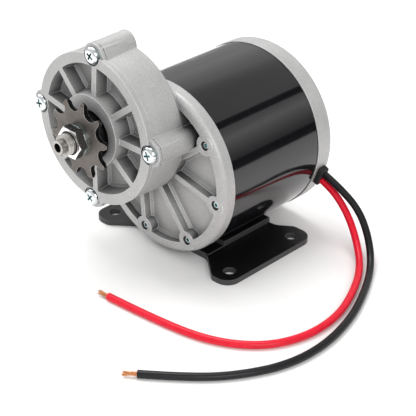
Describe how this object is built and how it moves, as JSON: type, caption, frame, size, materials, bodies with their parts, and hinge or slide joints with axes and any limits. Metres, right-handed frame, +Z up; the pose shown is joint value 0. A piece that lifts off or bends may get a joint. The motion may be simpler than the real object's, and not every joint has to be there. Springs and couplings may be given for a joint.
{
  "type": "geared dc motor",
  "caption": "Brushed DC motor with an offset spur gearbox, a chain sprocket on its output shaft, a winged foot plate and two bare-ended leads.",
  "frame": {"origin": "centre of the four foot holes, on the underside of the foot plate", "axes": "+Z up, both shafts along Y with the sprocket at the -Y end, +X to the right seen from the sprocket"},
  "size_m": [0.2021, 0.1855, 0.1278],
  "materials": {
    "black_powder_coat": "satin black",
    "black_gloss_paint": "gloss black",
    "cast_aluminium": "as-cast satin",
    "zinc_plated_steel": "bright zinc",
    "sprocket_steel": "oiled steel",
    "machined_steel": "turned",
    "bright_nut": "bright plated",
    "bearing_steel": "polished",
    "black_rubber": "matt",
    "red_insulation": "soft sheen",
    "black_insulation": "soft sheen",
    "bare_copper": "bright strands",
    "enamelled_copper": "enamelled",
    "commutator_copper": "worn",
    "ferrite": "matt",
    "laminated_steel": "laminated",
    "phenolic": "matt",
    "brass_sheet": "satin",
    "carbon": "matt",
    "spring_steel": "satin",
    "gasket_paper": "matt"
  },
  "bodies": {
    "frame": {"foot_plate": "black_powder_coat", "foot_saddle": "black_powder_coat", "motor_can": "black_gloss_paint", "field_magnets": "ferrite", "rear_cap": "cast_aluminium", "cap_bolts": "zinc_plated_steel", "gearbox_housing": "cast_aluminium", "bell_screws": "zinc_plated_steel", "gearbox_cover": "cast_aluminium", "cover_gasket": "gasket_paper", "cover_screws": "zinc_plated_steel", "shaft_seal": "black_rubber", "armature_front_bearing_outer": "bearing_steel", "armature_front_bearing_balls": "bearing_steel", "armature_rear_bearing_outer": "bearing_steel", "armature_rear_bearing_balls": "bearing_steel", "output_front_bearing_outer": "bearing_steel", "output_front_bearing_balls": "bearing_steel", "output_rear_bearing_outer": "bearing_steel", "output_rear_bearing_balls": "bearing_steel", "preload_washer": "zinc_plated_steel", "brush_plate": "phenolic", "brush_holders": "brass_sheet", "brushes": "carbon", "brush_springs": "spring_steel", "lead_grommet": "black_rubber", "red_lead": "red_insulation", "red_lead_strands": "bare_copper", "black_lead": "black_insulation", "black_lead_strands": "bare_copper"},
    "rotor": {"armature_shaft": "machined_steel", "armature_core": "laminated_steel", "armature_windings": "enamelled_copper", "commutator_hub": "phenolic", "commutator_bars": "commutator_copper", "armature_front_bearing_inner": "bearing_steel", "armature_rear_bearing_inner": "bearing_steel"},
    "output": {"output_shaft": "machined_steel", "output_gear": "machined_steel", "gear_key": "sprocket_steel", "retaining_ring": "zinc_plated_steel", "shaft_spacer": "machined_steel", "sprocket_key": "sprocket_steel", "sprocket": "sprocket_steel", "lock_washer": "zinc_plated_steel", "sprocket_nut": "bright_nut", "output_front_bearing_inner": "bearing_steel", "output_rear_bearing_inner": "bearing_steel"}
  },
  "joints": [
    {"name": "rotor_spin", "type": "hinge", "parent": "frame", "child": "rotor", "pos_m": [0, 0, 0.0532], "axis": [0, -1, 0], "continuous": true},
    {"name": "output_spin", "type": "hinge", "parent": "frame", "child": "output", "pos_m": [-0.0226, 0, 0.07614], "axis": [0, -1, 0], "continuous": true}
  ],
  "couplings": [
    {"joint": "output_spin", "follows": "rotor_spin", "ratio": -0.10843}
  ]
}
